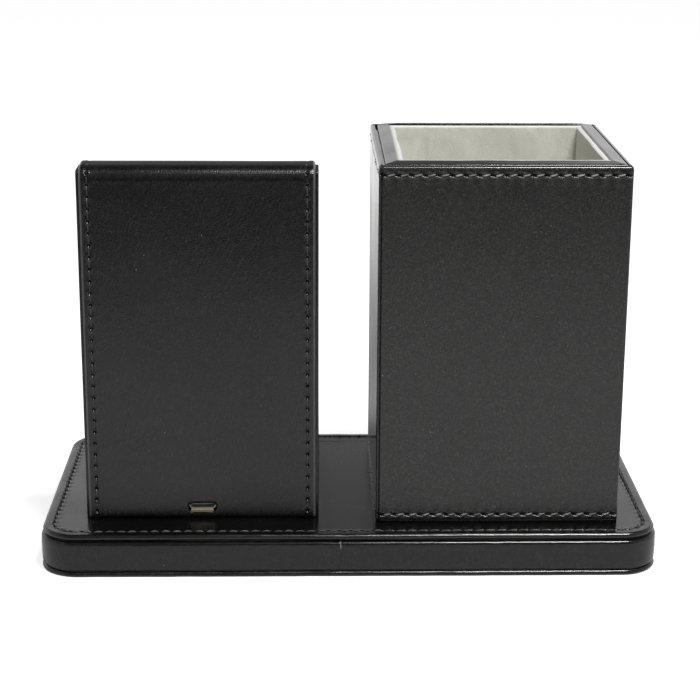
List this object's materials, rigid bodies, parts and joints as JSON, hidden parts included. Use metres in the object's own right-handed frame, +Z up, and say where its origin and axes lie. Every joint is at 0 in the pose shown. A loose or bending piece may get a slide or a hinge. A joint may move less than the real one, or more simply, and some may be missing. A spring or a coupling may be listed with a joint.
{
  "type": "desk organizer with phone stand",
  "caption": "Black leathercloth desk set: flat rounded base carrying a square velvet-lined pen cup and a wedge phone stand with a charging coil and a USB-C socket in its back.",
  "frame": {"origin": "middle of the base's underside", "axes": "+Z up; +X along the base from the phone stand to the pen cup; the stand's back with the USB-C socket faces -Y and its phone side +Y"},
  "size_m": [0.2, 0.1, 0.1318],
  "materials": {
    "base_pad_leather": "smooth fine-grained black leathercloth, semi-gloss",
    "base_band_leather": "smooth fine-grained black leathercloth, semi-gloss",
    "base_under_leather": "plain black leathercloth",
    "cup_leather": "smooth fine-grained black leathercloth, semi-gloss",
    "cup_rim_leather": "smooth fine-grained black leathercloth, semi-gloss",
    "cup_velvet": "short warm grey velvet pile",
    "stand_leather": "smooth fine-grained black leathercloth, semi-gloss",
    "stand_side_leather": "smooth fine-grained black leathercloth, semi-gloss",
    "ledge_leather": "smooth fine-grained black leathercloth, semi-gloss",
    "fibreboard": "raw fibreboard",
    "socket_steel": "nickel-plated",
    "socket_plastic": "moulded black",
    "circuit_laminate": "green solder mask",
    "chip_plastic": "moulded black",
    "spacer_nylon": "natural nylon",
    "coil_copper": "enamelled copper strand",
    "lead_sleeve": "insulated wire",
    "ferrite": "sintered ferrite sheet",
    "screw_steel": "zinc-plated"
  },
  "bodies": {
    "root": {"base_top_pad": "base_pad_leather", "base_edge_band": "base_band_leather", "base_bottom_cover": "base_under_leather", "cup_rear_skin": "cup_leather", "cup_right_skin": "cup_leather", "cup_front_skin": "cup_leather", "cup_left_skin": "cup_leather", "cup_rear_rim": "cup_rim_leather", "cup_right_rim": "cup_rim_leather", "cup_front_rim": "cup_rim_leather", "cup_left_rim": "cup_rim_leather", "cup_rear_lining": "cup_velvet", "cup_right_lining": "cup_velvet", "cup_front_lining": "cup_velvet", "cup_left_lining": "cup_velvet", "cup_floor_lining": "cup_velvet", "stand_cover": "stand_leather", "stand_left_skin": "stand_side_leather", "stand_right_skin": "stand_side_leather", "phone_shelf": "ledge_leather", "phone_lip": "ledge_leather", "base_board": "fibreboard", "cup_floor_board": "fibreboard", "cup_rear_board": "fibreboard", "cup_right_board": "fibreboard", "cup_front_board": "fibreboard", "cup_left_board": "fibreboard", "stand_rear_board": "fibreboard", "stand_front_board": "fibreboard", "stand_left_board": "fibreboard", "stand_right_board": "fibreboard", "stand_top_rail": "fibreboard", "stand_floor_board": "fibreboard", "usb_c_shell": "socket_steel", "usb_c_tongue": "socket_plastic", "charger_board": "circuit_laminate", "charger_chips": "chip_plastic", "board_spacers": "spacer_nylon", "charger_coil": "coil_copper", "coil_leads": "lead_sleeve", "coil_shield": "ferrite", "cup_screws": "screw_steel", "stand_screws": "screw_steel", "board_screws": "screw_steel"}
  },
  "joints": []
}
